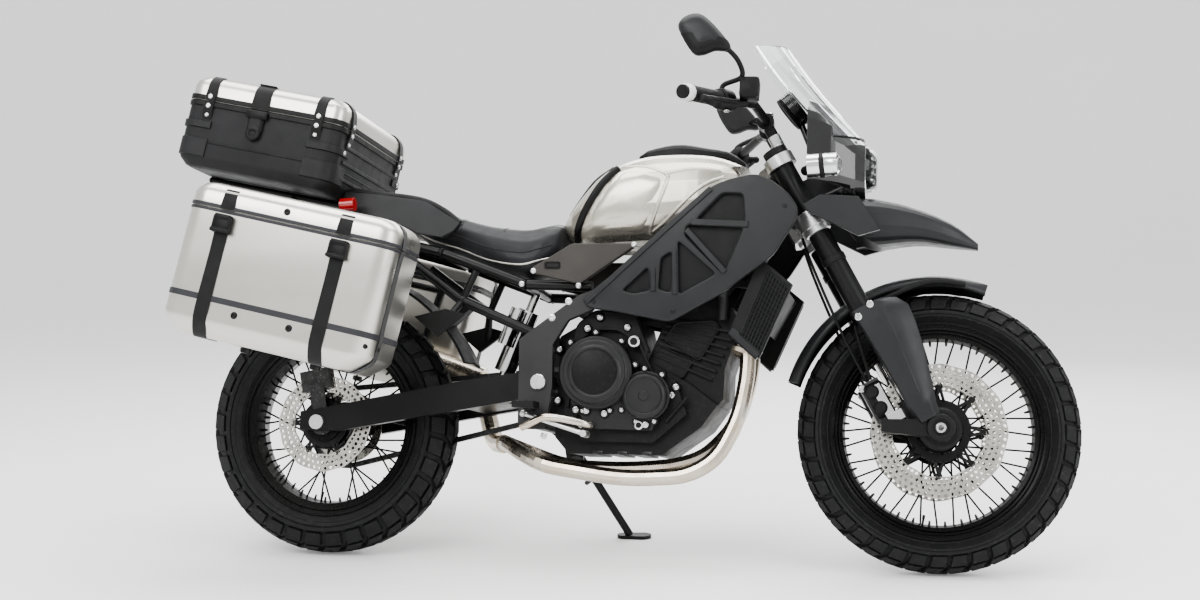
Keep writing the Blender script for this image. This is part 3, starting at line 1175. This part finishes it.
# ---- Fork ----
guard, clamp, bolts, silver = Piece(), Piece(), Piece(), Piece()
leg_up = (on_fork(0, 0, 100) - on_fork(0, 0, 0)).normalized()
leg_ahead = (on_fork(100, 0, 0) - on_fork(0, 0, 0)).normalized()
LEG, LEG_Y = 30, 105
FRONT_HUB = vec(WHEELBASE, 0, FRONT_TYRE_R)
for s in (-1, 1):
    rows = []
    for h, back, front, r in ((30, -2, 50, 45), (58, -6, 54, 46), (80, -10, 62, 46), (130, -10, 76, 47),
                              (190, -12, 92, 48), (250, -14, 104, 48), (290, -16, 108, 47),
                              (318, -18, 92, 46), (334, -18, 60, 45)):
        outer = [(back, r - 8), (back + 4, r), (LEG * 0.4, r + 3), (front * 0.72, r + 1),
                 (front, r - 14), (front - 2, r - 20)]
        inner = [(f, d - 5) for f, d in reversed(outer)]
        rows.append([on_fork(LEG + f - 8, s * (LEG_Y + d), h) for f, d in outer + inner])
    guard.rings(rows)
    guard.ribbon([on_fork(LEG + 20, s * 151, 96), on_fork(LEG + 44, s * 151, 300)], leg_ahead, 4, 3)
    clamp.lathe([(33, 128), (34, 142), (31, 149), (24, 151), (20, 150), (18, 146), (14, 144)],
                on_fork(56, 0, 0), (0, s, 0), 48)
    clamp.rings([[FRONT_HUB + vec(-x, s * y, z + x * 0.02)
                  for y, z in ((118, -w), (122, -w - 2), (142, -w), (144, w), (122, w + 2), (118, w))]
                 for x, w in ((22, 22), (70, 17), (128, 15), (136, 11))])
    clamp.lathe([(28.6, 10), (30, 14), (30, 94), (28.6, 98)], on_fork(LEG, s * LEG_Y, 0), leg_up, 40)
    clamp.lathe([(50, 108), (50, 124), (44, 130), (36, 130)], FRONT_HUB, (0, s, 0), 48)
    silver.lathe([(13, 138), (13, 146), (11, 148), (7, 148), (6.5, 144), (0.01, 144)], on_fork(56, 0, 0),
                 (0, s, 0), 32)
    for f, h in ((LEG - 18, 316), (LEG + 20, 330)):
        bolts.lathe([(9, 0), (9, 5), (7, 7), (4, 7), (3.6, 4), (0.01, 4)], on_fork(f, s * 150, h),
                    (0, s, 0), 24)
    for f, h in ((-46, 96), (-30, 118), (-46, 146), (-20, 160), (-56, 168)):
        bolts.lathe([(9, -4), (8, 5), (0.01, 6)], on_fork(f, s * 86, h), (0, s, 0), 16)
    clamp.block(on_fork(-34, s * 92, 128), (44, 12, 84), (leg_ahead, vec(0, s, 0), leg_up), 5)
    for h in (150, 108):
        clamp.lathe([(16, 0), (16, 14), (12, 18), (0.01, 18)], on_fork(-40, s * 90, h), (0, s, 0), 24)
    for h, r in ((330, 29), (470, 29.6), (768, 29)):
        clamp.lathe([(26, -9), (r, -8), (r, 8), (26, 9)], on_fork(LEG, s * LEG_Y, h), leg_up, 40)
    silver.lathe([(30.5, -16), (33.5, -14), (33.5, 14), (30.5, 16)], on_fork(LEG, s * LEG_Y, 560),
                 leg_up, 40)
guard.make("fork_guard_panels", "grey_plastic", "steering", TURNED, smooth=40)
clamp.make("fork_fittings", "black_plastic", "steering", TURNED, smooth=40)
bolts.make("fork_bolts", "bolt_silver", "steering", TURNED)
silver.make("fork_silver_fittings", "clamp_silver", "steering", TURNED)

# ---- Front mudguard ----
skin, edge = Piece(), Piece()
rows = []
for k in range(41):
    t = k / 40
    a = radians(72 + 90 * t)
    grow = 1 - 0.55 * abs(2 * t - 1) ** 3
    rise = 4 * sin(pi * t)
    outer = [(348 + rise, -70 * grow), (358 + rise, -68 * grow), (370 + rise, -48 * grow),
             (375 + rise, -20), (376 + rise, 0), (375 + rise, 20), (370 + rise, 48 * grow),
             (358 + rise, 68 * grow), (348 + rise, 70 * grow)]
    outer += [(r - 3.5, y * 0.96) for r, y in reversed(outer)]
    rows.append([FRONT_HUB + vec(r * cos(a), y, r * sin(a)) for r, y in outer])
skin.rings(rows)
obj = skin.make("front_mudguard_skin", "grey_plastic", "steering", TURNED, smooth=50)
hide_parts("front_mudguard")
for s in (-1, 1):
    edge.tube([row[0 if s < 0 else 8] for row in rows], 2.4, 8)
    edge.tube(smooth_path([on_fork(LEG - 20, s * 62, 340), FRONT_HUB + vec(-40, s * 68, 352), FRONT_HUB
                           + vec(60, s * 68, 350)], 8), 7, 10)
    edge.tube(smooth_path([on_fork(LEG - 30, s * 84, 310), on_fork(LEG - 46, s * 74, 240),
                           on_fork(LEG - 58, s * 76, 180)], 8), 4, 10)
edge.make("front_mudguard_edges", "black_plastic", "steering", TURNED)


# ---- Handlebar fittings ----
shell, black, silver, white, grip = Piece(), Piece(), Piece(), Piece(), Piece()


def layers_of(outline, middle, s, layers):
    """An outline on side s, drawn for each (share of its size, distance from the middle plane)."""
    return [[vec(middle[0] + (x - middle[0]) * k, s * y, middle[1] + (z - middle[1]) * k)
             for x, z in outline] for k, y in layers]


LEAF = [(905, 1214), (911, 1238), (936, 1251), (962, 1246), (996, 1214), (1024, 1176), (1016, 1162),
        (990, 1162), (962, 1152), (938, 1158)]
for s, dx, dz in ((-1, 0, 0), (1, 30, 25)):
    leaf = [(p.x + dx, p.z + dz) for p in smooth_path([(x, 0, z) for x, z in LEAF], 4, closed=True)]
    mid = (965 + dx, 1204 + dz)
    shell.rings(layers_of(leaf, mid, s, ((0.9, 384), (0.98, 386), (1.0, 391), (0.97, 399), (0.86, 407),
                                         (0.6, 412), (0.25, 414))))
    black.rings(layers_of(leaf, mid, s, ((0.86, 383.4), (0.88, 385))))
    low = [(x, z) for x, z in leaf if z < 1196 + dz + (x - 965 - dx) * -0.2]
    black.rings(layers_of(low, mid, s, ((0.99, 396), (1.005, 400), (0.9, 408), (0.7, 412.5))))
    foot = bar(s, 28, 8)
    stalk = [foot, foot + vec(4, 0, 26), vec(1046 + dx, s * 300, 1128 + dz),
             vec(1040 + dx, s * 318, 1158 + dz), vec(1018 + dx, s * 348, 1178 + dz),
             vec(1000 + dx, s * 384, 1178 + dz)]
    black.tube(smooth_path(stalk, 8), 6, 14)
    black.lathe([(9, -6), (11, -4), (11, 10), (7, 16)], foot, (0, 0, 1), 20)
    black.lathe([(9, -8), (9.5, 0), (7, 8)], vec(1012 + dx, s * 366, 1178 + dz), (-0.5, s * 0.8, 0), 16)
obj = shell.make("mirror_shells", "grey_plastic", "steering", TURNED, smooth=55)
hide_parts("mirrors")
for s in (-1, 1):
    a, b = bar(s, 0), bar(s, 100)
    way = (b - a).normalized()
    grip.lathe([(12, 46), (20.5, 47), (21, 52), (18.5, 54)]
               + [(18.3 if k % 2 else 17.4, 56 + k * 5) for k in range(21)]
               + [(20, 163), (20, 168), (12, 169)], a, way, 40)
    white.lathe([(12, 168), (19.5, 169), (19.5, 188), (17, 192), (12, 192), (11, 188)], a, way, 40)
    black.lathe([(11, 186), (10.5, 189), (4, 190), (4, 186), (0.01, 186)], a, way, 32)
    black.lathe([(14, -4), (25, 0), (26, 22), (24, 40), (16, 44)], a, way, 32)
    level = way.cross(vec(0, 0, 1)).normalized()
    black.block(bar(s, 18, -12, 10), (38, 34, 30), (way, level, way.cross(level)), 7)
    black.block(bar(s, 24, 14, -6), (30, 22, 18), (way, level, way.cross(level)), 5)
    for p, screw in ((bar(s, 16, 16, 4), (0, 0, 1)), (bar(s, 30, -26, 14), (0.2, 0, -1))):
        silver.lathe([(7, 0), (7, 4), (4, 6), (0.01, 6)], p, screw, 16)
    lever = [(1052, 272, 1072), (1030, 300, 1062), (1004, 340, 1052), (984, 378, 1044), (968, 418, 1044)]
    path = smooth_path([vec(x, s * y, z) for x, y, z in lever], 6)
    black.ribbon(path, vec(0.4, 0, 0.9), 15, 8)
    black.lathe([(8, -4), (9, 0), (7, 5), (0.01, 6)], path[-1], (-0.45, s * 0.9, 0), 16)
    for y in (38, 54):
        silver.bolt((1104, s * y, 1106), (0.3, 0, 1), 5.5, 5)
reservoir = Piece()
face = cut_corners([(1040, 1078), (1086, 1078), (1089, 1128), (1044, 1128)], 12, 4)
reservoir.rings(layers_of(face, (1064, 1103), -1,
                          ((0.9, 260), (1, 264), (1, 304), (0.96, 307), (0.9, 308))))
reservoir.make("brake_reservoir", "black_plastic", "steering", TURNED, smooth=45)
grip.make("grip_sleeves", "grip_rubber", "steering", TURNED, smooth=50)
white.make("bar_end_weights", "white_cap", "steering", TURNED)
black.make("bar_controls", "black_plastic", "steering", TURNED, smooth=45)
silver.make("bar_bolts", "bolt_silver", "steering", TURNED)

# ---- Nose: lens facets, indicators, instrument ----
DIAL, DIAL_WAY = vec(1156, 0, 1125), (0.78, 0, 0.63)
facets, glow, dial, bulbs = Piece(), Piece(), Piece(), Piece()
for row in range(5):
    for k in range(7):
        y, z = (k - 3) * 15.5, 941 + row * 17
        facets.block((1361 - abs(k - 3) * 2.5, y, z), (8, 11, 12), None, 3.5)
facets.make("headlight_facets", "lens", "chassis", bevel=0.8)
for s in (-1, 1):
    lamp, lamp_way = vec(1238, s * 180, 950), (0.98, 0, 0.1)
    bulbs.lathe([(18, -2), (27, 2), (29, 14), (28, 34), (22, 46), (12, 52), (0.01, 54)], lamp, lamp_way, 32)
    dial.tube(smooth_path([(1200, s * 120, 950), (1214, s * 146, 950), (1232, s * 170, 950)], 6), 12, 16)
    dial.lathe([(28.5, 0), (30, 3), (30, 9), (28.5, 12)], lamp, lamp_way, 32)
    glow.tube(smooth_path([(1316, s * 76, 1030), (1330, s * 80, 980), (1318, s * 80, 928)], 8), 3, 10)
for k in range(9):
    h = -10 + 3.6 * k
    dial.lathe([(44, h), (47 if k % 2 else 45, h + 1.2), (44, h + 2.4)], DIAL, DIAL_WAY, 48)
dial.lathe([(46, -12), (44, -16), (38, -17), (36, -14), (0.01, -14)], DIAL, DIAL_WAY, 48)
bulbs.make("indicator_lenses", "lens", "chassis")
glow.make("headlight_trim", "gloss_black", "chassis")
dial.make("instrument_case", "black_plastic", "chassis")

# ---- Tank: pad strip, creases, cap, tail loop ----
tank_skin = frame["nodes"]["fuel_tank"]
tank_tree = BVHTree.FromPolygons([tank_skin.matrix_world @ v.co for v in tank_skin.data.vertices],
                                 [tuple(p.vertices) for p in tank_skin.data.polygons])


def on_tank(x, s, z, out=0.0):
    """The point of the tank's side at that length and height."""
    hit, normal = cast(tank_tree, vec(x, s * 300, z), vec(0, -s, 0))
    return (FROM_ROW @ (hit + normal * out / 1000)) if hit else None


CREASES = [[(762, 962), (820, 958), (868, 938), (872, 916), (840, 830), (828, 796)],
           [(868, 938), (930, 950), (1000, 946)],
           [(828, 796), (872, 826), (950, 900), (1010, 930)]]
strip, crease = Piece(), Piece()
for s in (-1, 1):
    line = [on_tank(x, s, z, 3) for x, z in ((640, 790), (648, 812), (664, 846), (684, 880), (706, 912),
                                             (728, 938), (746, 956))]
    strip.tube(smooth_path([p for p in line if p], 6), 9, 14)
    for pts in CREASES:
        line = [on_tank(p.x, s, p.z, -3.4) for p in smooth_path([(x, 0, z) for x, z in pts], 6)]
        crease.tube([p for p in line if p], 6, 10)
for s in (-1, 1):
    strip.tube(smooth_path([(44, s * 119, 850), (40, s * 119, 896), (60, s * 119, 908),
                            (120, s * 119, 902), (236, s * 119, 886), (300, s * 119, 858),
                            (342, s * 119, 826)], 6), 9, 14)
facet = Piece()
FACET = [(664, 800), (690, 850), (724, 902), (762, 946), (812, 944), (856, 926), (858, 912), (828, 836),
         (812, 800)]
for s in (-1, 1):
    rows = []
    for k in (1.0, 0.94, 0.7, 0.4, 0.1):
        ring = []
        for x, z in cut_corners(FACET, 10, 2):
            q = vec(758 + (x - 758) * k, 0, 872 + (z - 872) * k)
            p = on_tank(q.x, s, q.z, 0.4 if k == 1 else 2.2)
            ring.append(p if p else vec(q.x, s * 140, q.z))
        rows.append(ring)
    facet.rings(rows, caps=(False, True))
facet.make("tank_facets", "tank_paint", "chassis", smooth=60)
strip.make("tank_edge_strips", "black_plastic", "chassis")
crease.make("tank_creases", "tank_paint", "chassis")

# ---- Floor ----
floor = bpy.data.meshes.new("floor")
turns, wide, bend = 96, 15.0, 3.4
profile = [(0.0, 0.0), (3.0, 0.0), (wide - bend, 0.0)]
profile += [(wide - bend + bend * sin(a), bend - bend * cos(a))
            for a in (pi / 2 * k / 16 for k in range(1, 17))]
profile += [(wide, 5.5)]
circle = [(cos(2 * pi * k / turns), sin(2 * pi * k / turns)) for k in range(turns)]
floor.from_pydata([(0, 0, 0)] + [(r * c, r * d, z) for r, z in profile[1:] for c, d in circle], [],
                  [(0, 1 + k, 1 + (k + 1) % turns) for k in range(turns)]
                  + [(1 + j * turns + k, 1 + (j + 1) * turns + k, 1 + (j + 1) * turns + (k + 1) % turns,
                      1 + j * turns + (k + 1) % turns) for j in range(len(profile) - 2)
                     for k in range(turns)])
floor.polygons.foreach_set("use_smooth", [True] * len(floor.polygons))
backdrop = bpy.data.objects.new("floor", floor)
bpy.context.scene.collection.objects.link(backdrop)
finish_of("floor", (0.86, 0.86, 0.855), 0.6, vary=0.015, patch=0.6, grain=60, bump=0.02, edge=0)
put(LOOKS["floor"].node_tree.nodes["Principled BSDF"],
    {"Emission Color": (1, 1, 1, 1), "Emission Strength": 0.14})
floor.materials.append(LOOKS["floor"])

bpy.context.view_layer.update()
